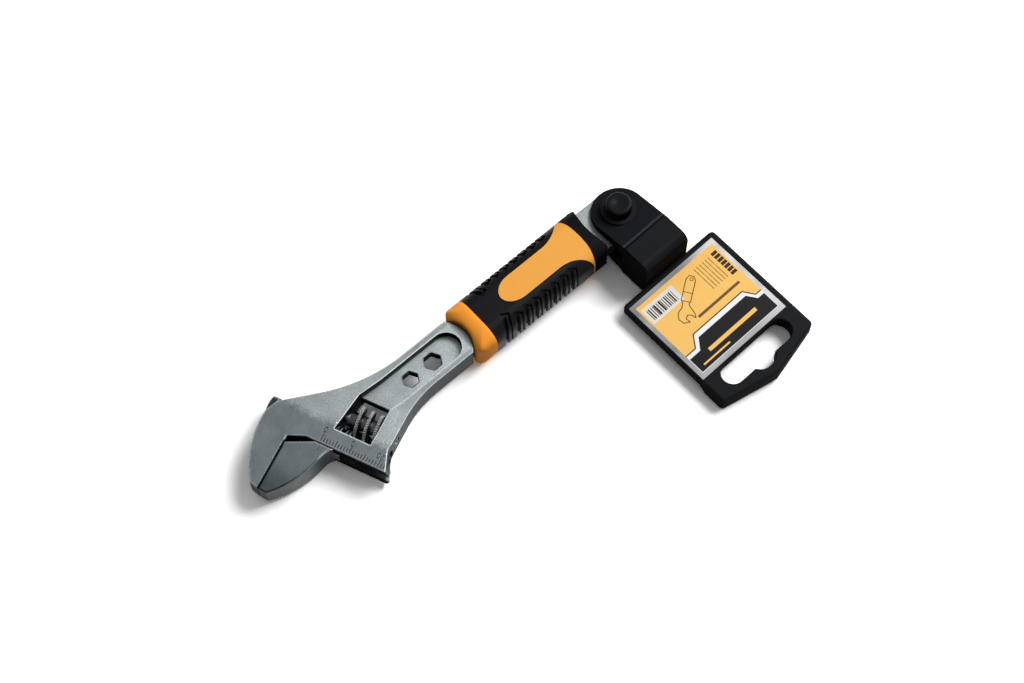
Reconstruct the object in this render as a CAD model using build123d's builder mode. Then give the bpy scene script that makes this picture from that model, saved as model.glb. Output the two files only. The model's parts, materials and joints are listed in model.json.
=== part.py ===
from build123d import *
import math
import os

# Adjustable wrench of the 150 mm class, with a two-shot grip and a swivelling display hanger.
# Millimetres. Origin: centre of the fixed jaw's clamping face, in the mid-plane of the wrench.
# +X runs along the handle to its tail, +Z stands square to the flat sides.

os.makedirs("parts", exist_ok=True)

# ---- fits ------------------------------------------------------------------------------------
running_fit = 0.08        # radial, on whatever turns or slides in a round bore
seat_fit = 0.04           # radial or per face, on pieces of one body that sit in each other
jaw_gap = 0.15            # between the closed clamping faces
guide_gap = 0.15          # per face, where the movable jaw rides on the head
mesh_gap = 0.22           # per flank, between worm thread and rack

# ---- head, where "a" runs along the clamping faces and "s" is the way the jaw opens ----------
head_angle = 22.5         # degrees from the handle
head_thick = 10.5
nose_rise = 3.2           # the jaws' lower faces rise this far towards their tips
nose_start = 7.5          # along the faces, where the rise begins
jaw_face = 19.8           # length of each clamping face
tip_height = 3.1          # blunt end of the fixed jaw
tip_lean = 0.8
crown_depth = 10.3        # height of the fixed jaw over its face, at the shoulder
crown_reach = 4.9         # the shoulder lies this far past the face's end
crown_radius = 36.0
shoulder_run = 4.2        # from the end of the crown to the start of the back line
shoulder_drop = 1.9
shoulder_radius = 3.0
throat_step = 2.3         # the lip edge lies this far past the face's end
throat_rise = 5.5
lip_width = 6.2           # strip between lip edge and window
lip_nose = 3.75           # the lip's corner stands this far past the end flat
lip_nose_run = 9.75
lip_nose_chamfer = 1.15
lip_nose_bevel = 2.8
edge_break = 0.35         # small bevel round the ground faces

# ---- window for the worm ---------------------------------------------------------------------
window_width = 14.4
window_length = 13.0
window_skew = 1.8         # the wall nearest the jaw leans by this much
window_start = 12.4       # from the clamping face
end_wall = 5.85           # between window and end flat
ground_reach = 20.7       # the ground flat of the head ends here, along a

# ---- handle ----------------------------------------------------------------------------------
handle_drop = 6.4         # handle axis below the origin, along Y
shank_width = 14.5
shank_thick = 8.8
neck_thick = 10.0         # forging beside the ground flat
ground_break = 0.24       # bevel round the ground flat
neck_reach = 26.0         # X where the neck starts to thin down
shank_flat = 50.0         # X where it has thinned down to the shank
shank_end = 75.2          # X of the shank's rounded end
shank_end_bulge = 2.75
back_slope = 29.7         # degrees, of the back of the head
back_blend = 58.0
belly_blend = 40.0
web_thick = 3.2
recess_width = 10.4
recess_rim = 2.9          # from the recess to the shank's end
recess_start = 44.0
hex_sizes = [5.0, 5.5]    # across flats
hex_inset = 11.0          # larger hexagon from the end of the recess
hex_pitch = 9.42

# ---- tang and eye ----------------------------------------------------------------------------
tang_width = 12.0
tang_thick = 5.8
eye_radius = 8.2
eye_reach = 9.5           # eye centre from the grip's horns
eye_hole_radius = 5.0
eye_flank = 20.0          # length of the tang that has the eye's full width

# ---- rail, rack and worm ---------------------------------------------------------------------
rail_radius = 3.6
rail_offset = 5.8         # rail axis from the lip edge
rail_back = 11.0          # rail end beyond the clamping face
rail_length = 29.5
web_width = 4.0           # web that joins the movable jaw to its rail
web_tail = 2.0            # the web runs on past the jaw's back
jaw_slant_start = 7.7     # along the face, where the back corner is cut away
jaw_shoulder = 8.8        # from the face to where the jaw meets the lip
jaw_depth_root = 15.4      # from the face, where the back meets the lip
jaw_waist = 8.0           # along the face, where the back turns from hollow to round
jaw_depth_waist = 13.15
waist_slope = 12.2        # degrees, of the back at the waist
jaw_mid = -1.1
jaw_depth_mid = 9.95
jaw_depth_tip = 3.3
jaw_tip_over = 0.3
jaw_travel = 20.0
worm_radius = 5.75
worm_offset = 12.8        # worm axis from the lip edge
worm_start = 14.7
worm_length = 10.5
worm_pitch = 3.3
worm_cross = 0.85         # first crossing of thread and rack, from the worm's end
worm_crest = 1.0
worm_flank = 0.35         # each flank widens by this to the root
pin_radius = 1.4
pin_grip = 3.4            # depth of the pin in the wall by the jaw
pin_sink = 0.3            # below the end flat
pin_slot = 0.7
pin_bevel = 0.2
spring_wire = 0.3         # radius of the wire
spring_radius = 1.95
spring_depth = 3.4        # pocket in the worm
spring_turns = 3

# ---- grip ------------------------------------------------------------------------------------
grip_width = 20.0
grip_thick = 16.0
grip_round = 6.0
grip_overlap = 2.4        # the grip reaches this far over the shank's end
grip_length = 58.2
grip_back_hollow = 2.2
grip_skin = 1.5           # black layer over the orange core
collar_length = 5.6       # past the shank's end
collar_gap = 0.5          # to the shank's rounded end
horn_radius = 5.2
collar_nose = 6.5         # rounding of the collar's front, seen from the side
collar_bow = 2.4          # rounding of its hollow edge round the shank
cap_nose = 2.0            # rounding of the cap's tail, seen from the side
tail_radius = 3.4
inlay_offset = 9.8        # tip of the inlay from the collar
inlay_half = 4.9
inlay_point = 7.0         # length of the pointed end
inlay_neck = 12.8         # from the start of the flare to the back of the ring
inlay_flare = 10.3        # length of the flare's curve
cap_length = 5.6          # black end cap, measured at the sides
ring_back_bulge = 1.5
rib_count = 8
rib_pitch = 3.97
rib_offset = 7.4          # first loop from the collar
rib_depth = 1.05
rib_slot = 1.1            # width of the groove that draws each loop
rib_lean = 26.0           # degrees
rib_top_first = 4.8       # from the grip's axis to the closed end of the first loop
rib_top = 6.9             # and of the others

# ---- hanger ----------------------------------------------------------------------------------
pin_shift_x = 1.4         # hanger axis from the eye's centre
pin_shift_y = -1.15
hanger_turn = 1.3         # degrees past square to the handle, as it rests
ear_width = 18.4
ear_top = 5.85            # height of the sloping ear at the hanger axis
ear_slope = 11.0
ear_gap = 0.2             # to the tang
throat_depth = 12.0
ear_band = 1.0            # steeper strip before the block
block_start = 12.6
block_end = 23.6
block_top = 8.5
hanger_bottom = -9.0
block_round = 3.4
groove_depth = 0.35
plate_width = 42.0
plate_shift = 0.7         # along the handle, from the middle of the ears
plate_top = -3.3
plate_thick = 3.0
plate_corner = 1.6
plate_start = 23.4
plate_side = 70.3         # length from the axis to the end corners
plate_peak = 75.0
plate_bevel = 0.7
foot_start = 59.6         # the thick end with the slot
foot_run = 3.0
label_start = 25.3
label_length = 34.9
label_width = 38.8
label_shift = 0.1
label_pocket = 0.5
label_gap = 0.1
label_thick = 0.35
slot_length = 30.0
slot_width = 8.1
slot_start = 60.8
notch_half = 4.6
notch_depth = 2.6
stud_radius = 3.0
flange_radius = 5.95
flange_thick = 1.0
button_radius = 4.2
button_foot = 4.5
button_top = 11.3
button_round = 0.8
button_dish = 0.25
barb_over = 0.7
barb_thick = 1.2
split_width = 1.0
seat_rise = 0.5           # of the flat seats round the holes in the ears

# ---- places worked out from the sizes --------------------------------------------------------
cos_head = math.cos(math.radians(head_angle))
sin_head = math.sin(math.radians(head_angle))
along = Vector(cos_head, sin_head, 0)
opening = Vector(sin_head, -cos_head, 0)
half_head = head_thick / 2
axis_y = -handle_drop
face_end = jaw_face / 2
lip_edge = face_end + throat_step
window_near = lip_edge + lip_width
window_far = window_near + window_width
window_end = window_start + window_length
end_flat = window_end + end_wall
jaw_back = lip_edge - guide_gap
rail_axis = lip_edge + rail_offset

worm_axis = lip_edge + worm_offset
worm_root = worm_axis - rail_axis - rail_radius - mesh_gap
half_crest = worm_crest / 2
half_root = half_crest + worm_flank
rack_root = worm_axis - worm_radius - mesh_gap
rack_tip = rail_axis + rail_radius
rack_tilt = math.atan(worm_pitch / (math.pi * (worm_radius + worm_root)))
groove_floor = half_crest + mesh_gap
groove_mouth = half_root + mesh_gap
first_cross = worm_start + worm_cross
crossings = math.floor((rail_length - rail_back + worm_pitch / 2 - first_cross) / worm_pitch)
first_groove = first_cross + crossings * worm_pitch
groove_count = math.ceil((first_groove - worm_start + jaw_travel) / worm_pitch) + 1
thread_start = first_cross - 1.5 * worm_pitch
thread_length = worm_start + worm_length - thread_start + worm_pitch
wall_lean = window_skew / window_width
wall_by_jaw = window_start + (worm_axis - window_near) * wall_lean
pin_start = wall_by_jaw - pin_grip
pin_length = end_flat - pin_sink - pin_start
spring_start = wall_by_jaw + (spring_radius + spring_wire) * wall_lean + spring_wire + seat_fit
spring_length = worm_start + spring_depth - spring_wire - seat_fit - spring_start

shank_top = axis_y + shank_width / 2
shank_bottom = axis_y - shank_width / 2
shank_corner = shank_end - shank_end_bulge
shank_end_radius = (shank_width ** 2 / 4 + shank_end_bulge ** 2) / (2 * shank_end_bulge)
recess_end = shank_end - recess_rim
recess_round = recess_end - recess_width / 2
hex_last = recess_end - hex_inset

grip_front = shank_end - grip_overlap
grip_back = grip_front + grip_length
collar_end = shank_end + collar_length
inlay_tip = collar_end + inlay_offset
inlay_shoulder = inlay_tip + inlay_point
ring_back = grip_back - cap_length
ring_side = ring_back - ring_back_bulge
flare_start = ring_back - inlay_neck
flare_end = flare_start + inlay_flare
flare_half = grip_width / 2 + seat_fit
cover_end = (flare_end + ring_side) / 2
tail_hollow_radius = (grip_width ** 2 / 4 + grip_back_hollow ** 2) / (2 * grip_back_hollow)
tail_hollow_centre = grip_back - grip_back_hollow + tail_hollow_radius
rib_start = collar_end + rib_offset
eye_centre = grip_back + eye_reach

hanger_x = eye_centre + pin_shift_x
hanger_y = axis_y + pin_shift_y
ear_foot = tang_thick / 2 + ear_gap
ear_seat = ear_top + seat_rise
ear_half = ear_width / 2
plate_half = plate_width / 2
slot_middle = slot_start + slot_width / 2
slot_end = slot_start + slot_width
pocket_floor = plate_top - label_pocket
label_middle = label_start + label_length / 2
barb_end = ear_seat + seat_fit + barb_thick


def head_point(a, s, z=0):
    """Row position of the head point at a along the faces and s in the opening direction."""
    return along * a + opening * s + Vector(0, 0, z)


def head_plane(a, s):
    """Plane square to the opening direction at that head point, with its own x along the faces."""
    return Plane(origin=head_point(a, s), x_dir=along, z_dir=opening)


def section_plane(x):
    """Plane across the handle at x, with its own x along +Y and its y along +Z."""
    return Plane(origin=(x, axis_y, 0), x_dir=(0, 1, 0), z_dir=(1, 0, 0))


def ear_height(reach):
    """Height of an ear's sloping face at that distance from the hanger axis towards the plate."""
    return ear_top + reach * math.tan(math.radians(ear_slope))


head = Plane(origin=(0, 0, 0), x_dir=along, z_dir=(0, 0, 1))
hanger = Plane(origin=(hanger_x, hanger_y, 0), z_dir=(0, 0, 1)).rotated((0, 0, hanger_turn))
hanger_side = Plane(origin=hanger.origin, x_dir=-hanger.y_dir, z_dir=-hanger.x_dir)

# wedge that is taken off under both noses, so that they grow thinner towards their tips
with BuildSketch(head_plane(0, 0)) as nose_wedge:
    nose_slope = nose_rise / (nose_start + face_end)
    Polygon(
        (nose_start, -half_head),
        (-jaw_face, (nose_start + jaw_face) * nose_slope - half_head),
        (-jaw_face, -head_thick),
        (nose_start, -head_thick),
        align=None,
    )

# ---- plan of the forging: head, lip and shank in one outline ----------------------------------
tip_low = head_point(-face_end, 0)
tip_high = head_point(-face_end + tip_lean, -tip_height)
crown_end = head_point(face_end + crown_reach, -crown_depth)
back_start = head_point(face_end + crown_reach + shoulder_run, -crown_depth + shoulder_drop)
back_run = (back_start.Y - shank_top) / math.tan(math.radians(back_slope))
back_foot = Vector(back_start.X + back_run, shank_top)
belly_foot = head_point((shank_bottom + end_flat * cos_head) / sin_head, end_flat)

with BuildSketch() as forging_plan:
    with BuildLine():
        Line(tip_low, tip_high)
        RadiusArc(tip_high, crown_end, crown_radius)
        Polyline(crown_end, back_start, back_foot, (shank_corner, shank_top))
        ThreePointArc((shank_corner, shank_top), (shank_end, axis_y), (shank_corner, shank_bottom))
        Polyline(
            (shank_corner, shank_bottom),
            belly_foot,
            head_point(lip_edge, end_flat),
            head_point(lip_edge, throat_rise),
            head_point(face_end, 0),
            tip_low,
        )
    make_face()
    fillet(vertices().sort_by_distance(back_foot)[0], radius=back_blend)
    fillet(vertices().sort_by_distance(belly_foot)[0], radius=belly_blend)
    fillet(vertices().sort_by_distance(back_start)[0], radius=shoulder_radius)

with BuildSketch() as ground_plan:
    add(forging_plan.sketch)
    with Locations(head_point(ground_reach - 2 * jaw_face, 0)):
        Rectangle(4 * jaw_face, 4 * end_flat, rotation=head_angle, mode=Mode.INTERSECT)

with BuildSketch() as tang_plan:
    with Locations(((recess_end + eye_centre) / 2, axis_y)):
        Rectangle(eye_centre - recess_end, tang_width)
    with Locations((eye_centre - eye_flank / 2, axis_y)):
        Rectangle(eye_flank, 2 * eye_radius)
    with Locations((eye_centre, axis_y)):
        Circle(eye_radius)

# The lip's corner stands past the end flat and is bevelled on both sides.
with BuildPart() as nose:
    with BuildSketch(head):
        Polygon(
            (lip_edge, -end_flat + edge_break),
            (lip_edge, -end_flat - lip_nose),
            (lip_edge + lip_nose_run, -end_flat),
            (lip_edge + lip_nose_run, -end_flat + edge_break),
            align=None,
        )
    extrude(amount=half_head, both=True)
    for flat_side in (faces().sort_by(Axis.Z)[-1], faces().sort_by(Axis.Z)[0]):
        long_edge = flat_side.edges().sort_by(SortBy.LENGTH)[-1]
        chamfer(long_edge, length=lip_nose_chamfer, length2=lip_nose_bevel, reference=flat_side)

with BuildPart() as ground_head:
    add(ground_plan.sketch)
    extrude(amount=half_head, both=True)
    chamfer(edges().group_by(Axis.Z)[-1] + edges().group_by(Axis.Z)[0], length=ground_break)

# ---- wrench body: the forging with its window, recesses, bores and eye ------------------------
with BuildPart() as wrench_body:
    add(forging_plan.sketch)
    extrude(amount=neck_thick / 2, both=True)
    with BuildSketch(Plane.XZ):
        Polygon(
            (-jaw_face, neck_thick / 2),
            (neck_reach, neck_thick / 2),
            (shank_flat, shank_thick / 2),
            (shank_end + 1, shank_thick / 2),
            (shank_end + 1, -shank_thick / 2),
            (shank_flat, -shank_thick / 2),
            (neck_reach, -neck_thick / 2),
            (-jaw_face, -neck_thick / 2),
            align=None,
        )
    extrude(amount=shank_end, both=True, mode=Mode.INTERSECT)
    add(ground_head.part)
    add(nose.part)
    extrude(nose_wedge.sketch, amount=2 * jaw_face, both=True, mode=Mode.SUBTRACT)
    add(tang_plan.sketch)
    extrude(amount=tang_thick / 2, both=True)
    # window for the worm, through both sides
    with BuildSketch(head):
        Polygon(
            (window_near, -window_start),
            (window_near, -window_end),
            (window_far, -window_end),
            (window_far, -window_start - window_skew),
            align=None,
        )
    extrude(amount=half_head, both=True, mode=Mode.SUBTRACT)
    # recess in both sides, from the window's far wall to a round end
    recess_top = axis_y + recess_width / 2
    recess_bottom = axis_y - recess_width / 2
    near_corner = head_point(window_far - edge_break, window_start + window_skew)
    far_corner = head_point(window_far - edge_break, window_end)
    with BuildSketch(Plane.XY.offset(web_thick / 2)) as recess:
        with BuildLine():
            Polyline(far_corner, near_corner, (recess_start, recess_top), (recess_round, recess_top))
            ThreePointArc((recess_round, recess_top), (recess_end, axis_y), (recess_round, recess_bottom))
            Polyline((recess_round, recess_bottom), (recess_start, recess_bottom), far_corner)
        make_face()
    extrude(amount=half_head, mode=Mode.SUBTRACT)
    add(recess.sketch.mirror(Plane.XY))
    extrude(amount=-half_head, mode=Mode.SUBTRACT)
    # hexagon holes through the web, the smaller nearer the head
    for index, across_flats in enumerate(reversed(hex_sizes)):
        with BuildSketch():
            with Locations((hex_last - index * hex_pitch, axis_y)):
                RegularPolygon(across_flats / 2, 6, major_radius=False)
        extrude(amount=web_thick, both=True, mode=Mode.SUBTRACT)
    # bore for the rail, right through, and the channel for the web of the movable jaw
    with BuildSketch(head_plane(rail_axis, -2 * crown_depth)):
        Circle(rail_radius + running_fit)
    extrude(amount=2 * crown_depth + end_flat + 2 * lip_nose, mode=Mode.SUBTRACT)
    with BuildSketch(head_plane((lip_edge + rail_axis) / 2, jaw_shoulder - guide_gap)):
        Rectangle(rail_offset + 2 * edge_break, web_width + 2 * guide_gap)
    extrude(amount=end_flat + lip_nose, mode=Mode.SUBTRACT)
    # hole for the worm pin, from the end flat into the wall by the jaw
    with BuildSketch(head_plane(worm_axis, pin_start)):
        Circle(pin_radius + seat_fit)
    extrude(amount=end_flat + pin_sink - pin_start, mode=Mode.SUBTRACT)
    # hole in the eye
    with BuildSketch():
        with Locations((eye_centre, axis_y)):
            Circle(eye_hole_radius)
    extrude(amount=tang_thick, both=True, mode=Mode.SUBTRACT)

# ---- movable jaw: the jaw itself, the web through the channel, and the rail with its rack -----
with BuildPart() as movable_jaw:
    with BuildSketch(head):
        with BuildLine():
            Polyline(
                (-face_end - jaw_tip_over, -jaw_depth_tip),
                (-face_end, -jaw_gap),
                (jaw_slant_start, -jaw_gap),
                (jaw_back, -jaw_shoulder),
                (jaw_back, -jaw_depth_root),
            )
            TangentArc(
                (jaw_waist, -jaw_depth_waist),
                (jaw_back, -jaw_depth_root),
                tangent=(math.cos(math.radians(waist_slope)), -math.sin(math.radians(waist_slope))),
            )
            ThreePointArc(
                (jaw_waist, -jaw_depth_waist),
                (jaw_mid, -jaw_depth_mid),
                (-face_end - jaw_tip_over, -jaw_depth_tip),
            )
        make_face()
    extrude(amount=half_head, both=True)
    chamfer(edges().group_by(Axis.Z)[-1] + edges().group_by(Axis.Z)[0], length=edge_break)
    with BuildSketch(head_plane((jaw_back + rail_axis) / 2, jaw_shoulder)):
        Rectangle(rail_axis - jaw_back + 2 * edge_break, web_width)
    extrude(amount=jaw_depth_root + web_tail - jaw_shoulder)
    with BuildSketch(head_plane(rail_axis, -rail_back)):
        Circle(rail_radius)
    extrude(amount=rail_length)
    # rack: grooves that lie along the worm's thread where it crosses the rail
    rack_lay = Vector(0, 0, math.cos(rack_tilt)) - opening * math.sin(rack_tilt)
    with BuildSketch(Plane(origin=head_point(0, first_groove), x_dir=along, z_dir=rack_lay)):
        with Locations(*[(0, index * worm_pitch * math.cos(rack_tilt)) for index in range(groove_count)]):
            Polygon(
                (rack_root, -groove_floor),
                (rack_root, groove_floor),
                (rack_tip, groove_mouth),
                (rack_tip + worm_crest, groove_mouth),
                (rack_tip + worm_crest, -groove_mouth),
                (rack_tip, -groove_mouth),
                align=None,
            )
    extrude(amount=2 * rail_radius, both=True, mode=Mode.SUBTRACT)
    extrude(nose_wedge.sketch, amount=2 * jaw_face, both=True, mode=Mode.SUBTRACT)

# ---- worm: drawn upright on its own axis, then laid in the window -----------------------------
with BuildPart() as thread:
    with BuildLine():
        Helix(pitch=worm_pitch, height=thread_length, radius=worm_radius)
    with BuildSketch(Plane.XZ):
        Polygon(
            (worm_root - half_crest, -half_root),
            (worm_radius, -half_crest),
            (worm_radius, half_crest),
            (worm_root - half_crest, half_root),
            align=None,
        )
    sweep(is_frenet=True)
    with BuildSketch(Plane.XY.offset(worm_start - thread_start)):
        Circle(worm_radius + worm_crest)
    extrude(amount=worm_length, mode=Mode.INTERSECT)

with BuildPart() as upright_worm:
    with BuildSketch():
        Circle(worm_root)
    extrude(amount=worm_length)
    add(thread.part.moved(Location((0, 0, thread_start - worm_start))))
    with BuildSketch():
        Circle(pin_radius + running_fit)
    extrude(amount=worm_length, mode=Mode.SUBTRACT)
    with BuildSketch():
        Circle(spring_radius + spring_wire + guide_gap)
    extrude(amount=spring_depth, mode=Mode.SUBTRACT)

with BuildPart() as worm:
    add(upright_worm.part.moved(head_plane(worm_axis, worm_start).location))

with BuildPart() as worm_pin:
    with BuildSketch(head_plane(worm_axis, pin_start + seat_fit)):
        Circle(pin_radius)
    extrude(amount=pin_length)
    chamfer(edges(), length=pin_bevel)
    with BuildSketch(head_plane(worm_axis, pin_start + seat_fit + pin_length - pin_slot)):
        Rectangle(pin_slot, 4 * pin_radius)
    extrude(amount=2 * pin_slot, mode=Mode.SUBTRACT)

with BuildPart() as upright_spring:
    with BuildLine() as coil:
        Helix(pitch=spring_length / spring_turns, height=spring_length, radius=spring_radius)
    with BuildSketch(Plane(origin=coil.line @ 0, z_dir=coil.line % 0)):
        Circle(spring_wire)
    sweep(is_frenet=True)

with BuildPart() as worm_spring:
    add(upright_spring.part.moved(head_plane(worm_axis, spring_start).location))

# ---- grip: orange core with collar, inlays and ring; black cover; black end cap ---------------
with BuildSketch() as collar_plan:
    with Locations(((grip_front + collar_end) / 2, axis_y)):
        Rectangle(collar_end - grip_front, grip_width)
    fillet(vertices().group_by(Axis.X)[0], radius=horn_radius)
    with Locations((shank_end - shank_end_radius, axis_y)):
        Circle(shank_end_radius + collar_gap, mode=Mode.SUBTRACT)

# the collar's hollow front edge is rounded with a ring turned round the shank's end
bow_radius = shank_end_radius + collar_gap
half_grip = grip_thick / 2
with BuildPart() as bow_edge:
    with BuildSketch(Plane(origin=(shank_end - shank_end_radius, axis_y, 0), z_dir=(0, -1, 0))):
        for side in (1, -1):
            with Locations((bow_radius, side * half_grip)):
                Rectangle(2 * collar_bow, 2 * collar_bow)
        for side in (1, -1):
            with Locations((bow_radius + collar_bow, side * (half_grip - collar_bow))):
                Circle(collar_bow, mode=Mode.SUBTRACT)
    revolve(axis=Axis((shank_end - shank_end_radius, axis_y, 0), (0, 0, 1)))

with BuildSketch() as inlay_plan:
    with BuildLine():
        EllipticalCenterArc((inlay_shoulder, axis_y), inlay_point, inlay_half, start_angle=90, arc_size=180)
        Line((inlay_shoulder, axis_y - inlay_half), (flare_start, axis_y - inlay_half))
        TangentArc((flare_start, axis_y - inlay_half), (flare_end, axis_y - flare_half), tangent=(1, 0))
        Line((flare_end, axis_y - flare_half), (ring_side, axis_y - flare_half))
        ThreePointArc((ring_side, axis_y - flare_half), (ring_back, axis_y), (ring_side, axis_y + flare_half))
        Line((ring_side, axis_y + flare_half), (flare_end, axis_y + flare_half))
        TangentArc((flare_start, axis_y + inlay_half), (flare_end, axis_y + flare_half), tangent=(1, 0))
        Line((flare_start, axis_y + inlay_half), (inlay_shoulder, axis_y + inlay_half))
    make_face()

with BuildSketch() as tang_room:
    add(tang_plan.sketch)
    offset(amount=seat_fit)


def rib_bar(x, top, width, mode):
    """Lay one slanted bar in the open sketch, from top outwards on the grip's lower side."""
    with Locations(Location((x, axis_y - top, 0), (0, 0, -rib_lean))):
        Rectangle(width, grip_width, align=(Align.CENTER, Align.MAX), mode=mode)


# Each loop is the outline of a slanted bar, closed at its inner end.
with BuildSketch() as rib_plan:
    for index in range(rib_count):
        loop_x = rib_start + index * rib_pitch
        loop_top = rib_top if index else rib_top_first
        rib_bar(loop_x, loop_top, rib_pitch / 2 + rib_slot, Mode.ADD)
        rib_bar(loop_x, loop_top + rib_slot, rib_pitch / 2 - rib_slot, Mode.SUBTRACT)
    mirror(about=Plane.XZ.offset(-axis_y))


def grip_bar(start, end, inset=0.0, mode=Mode.ADD):
    """Add the grip's rounded section to the open part from start to end, drawn in by inset."""
    with BuildSketch(section_plane(start)) as section:
        RectangleRounded(grip_width - 2 * inset, grip_thick - 2 * inset, grip_round - inset)
    extrude(section.sketch, amount=end - start, mode=mode)


def through(plan, half_depth, mode):
    """Run a plan sketch through the open part, both ways from the mid-plane."""
    extrude(plan.sketch, amount=half_depth, both=True, mode=mode)


def round_end(start, end, which, radius):
    """Round the open part's first or last end over and under, seen from the side."""
    with BuildSketch(Plane.XZ) as side_view:
        with Locations(((start + end) / 2, 0)):
            Rectangle(end - start, grip_thick)
        fillet(vertices().group_by(Axis.X)[which], radius=radius)
    extrude(side_view.sketch, amount=grip_width, both=True, mode=Mode.INTERSECT)


with BuildPart() as inlays:
    grip_bar(collar_end, ring_back)
    through(inlay_plan, grip_thick, Mode.INTERSECT)

with BuildPart() as grip_core:
    grip_bar(grip_front, collar_end)
    through(collar_plan, grip_thick, Mode.INTERSECT)
    round_end(grip_front, collar_end, 0, collar_nose)
    add(bow_edge.part, mode=Mode.SUBTRACT)
    grip_bar(collar_end, ring_side, inset=grip_skin)
    add(inlays.part)
    through(tang_room, tang_thick / 2 + seat_fit, Mode.SUBTRACT)

# The loops are cut as a thin shell of the grip's outside.
with BuildPart() as rib_cuts:
    grip_bar(collar_end, cover_end)
    grip_bar(collar_end, cover_end, inset=rib_depth, mode=Mode.SUBTRACT)
    through(rib_plan, grip_thick, Mode.INTERSECT)

with BuildPart() as grip_cover:
    grip_bar(collar_end, cover_end)
    grip_bar(collar_end, cover_end, inset=grip_skin, mode=Mode.SUBTRACT)
    through(inlay_plan, grip_thick, Mode.SUBTRACT)
    add(rib_cuts.part, mode=Mode.SUBTRACT)

with BuildSketch() as cap_plan:
    with Locations(((ring_side + grip_back) / 2, axis_y)):
        Rectangle(grip_back - ring_side, grip_width)
    fillet(vertices().group_by(Axis.X)[-1], radius=tail_radius)
    with Locations((tail_hollow_centre, axis_y)):
        Circle(tail_hollow_radius, mode=Mode.SUBTRACT)

with BuildPart() as grip_end:
    grip_bar(ring_side, grip_back)
    through(cap_plan, grip_thick, Mode.INTERSECT)
    round_end(ring_side, grip_back, -1, cap_nose)
    through(inlay_plan, grip_thick, Mode.SUBTRACT)
    through(tang_room, tang_thick / 2 + seat_fit, Mode.SUBTRACT)

# ---- hanger: two ears, a block and the plate with its slot ------------------------------------
with BuildSketch(hanger) as ear_plan:
    Circle(ear_half)
    with Locations((0, -block_end / 2)):
        Rectangle(ear_width, block_end)

with BuildSketch(hanger) as plate_plan:
    Polygon(
        (plate_shift - plate_half, -plate_start),
        (plate_shift - plate_half, -plate_side),
        (plate_shift, -plate_peak),
        (plate_shift + plate_half, -plate_side),
        (plate_shift + plate_half, -plate_start),
        align=None,
    )
    fillet(vertices().group_by(Axis.X)[0] + vertices().group_by(Axis.X)[-1], radius=plate_corner)

with BuildSketch(hanger) as slot_plan:
    with Locations((plate_shift, -slot_middle)):
        SlotOverall(slot_length, slot_width)
    with BuildLine():
        ThreePointArc(
            (plate_shift - notch_half, -slot_end),
            (plate_shift, -slot_end - notch_depth),
            (plate_shift + notch_half, -slot_end),
        )
        Polyline(
            (plate_shift + notch_half, -slot_end),
            (plate_shift, -slot_middle),
            (plate_shift - notch_half, -slot_end),
        )
    make_face()

with BuildPart() as hanger_arm:
    with BuildSketch(hanger_side):
        Polygon(
            (-ear_half, ear_height(-ear_half)),
            (block_start - ear_band, ear_height(block_start - ear_band)),
            (block_start, block_top),
            (block_start, block_top - groove_depth),
            (block_start + groove_depth, block_top - groove_depth),
            (block_start + groove_depth, block_top),
            (block_end, block_top),
            (block_end, hanger_bottom),
            (block_start, hanger_bottom),
            (block_start - ear_band, -ear_height(block_start - ear_band)),
            (-ear_half, -ear_height(-ear_half)),
            align=None,
        )
        fillet(vertices().sort_by_distance((block_end, block_top))[0], radius=block_round)
    extrude(amount=ear_width, both=True)
    through(ear_plan, plate_width, Mode.INTERSECT)

# flat seats round the holes, raised on the low side of each ear and sunk on the high side
    with BuildSketch(hanger):
        Circle(flange_radius)
    extrude(amount=ear_seat, both=True)
    with BuildSketch(hanger.offset(ear_seat), hanger.offset(-ear_seat - ear_top)):
        Circle(flange_radius)
    extrude(amount=ear_top, mode=Mode.SUBTRACT)
    # throat between the ears, and the hole for the pin
    with BuildSketch(hanger):
        with Locations((0, throat_depth / -2)):
            Rectangle(2 * ear_width, 3 * throat_depth)
        with Locations((0, -throat_depth - plate_width)):
            Rectangle(2 * ear_width, 2 * plate_width, mode=Mode.SUBTRACT)
    extrude(amount=ear_foot, both=True, mode=Mode.SUBTRACT)
    with BuildSketch(hanger):
        Circle(stud_radius + seat_fit)
    extrude(amount=ear_width, both=True, mode=Mode.SUBTRACT)

with BuildPart() as hanger_plate:
    with BuildSketch(hanger_side):
        Polygon(
            (plate_start, plate_top),
            (plate_peak, plate_top),
            (plate_peak, hanger_bottom),
            (foot_start + foot_run, hanger_bottom),
            (foot_start, plate_top - plate_thick),
            (plate_start, plate_top - plate_thick),
            align=None,
        )
    extrude(amount=plate_width, both=True)
    through(plate_plan, plate_width, Mode.INTERSECT)
    chamfer(edges().group_by(Axis.Z)[-1], length=plate_bevel)
    through(slot_plan, plate_width, Mode.SUBTRACT)
    chamfer(edges().filter_by(lambda edge: edge.center().Z > plate_top - edge_break / 2), length=edge_break)

with BuildPart() as hanger_body:
    add(hanger_arm.part)
    add(hanger_plate.part)
    with BuildSketch(hanger.offset(pocket_floor)):
        with Locations((label_shift, -label_middle)):
            Rectangle(label_width, label_length)
    extrude(amount=label_pocket, mode=Mode.SUBTRACT)

with BuildPart() as label_card:
    with BuildSketch(hanger.offset(pocket_floor)):
        with Locations((label_shift, -label_middle)):
            Rectangle(label_width - 2 * label_gap, label_length - 2 * label_gap)
    extrude(amount=label_thick)

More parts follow.
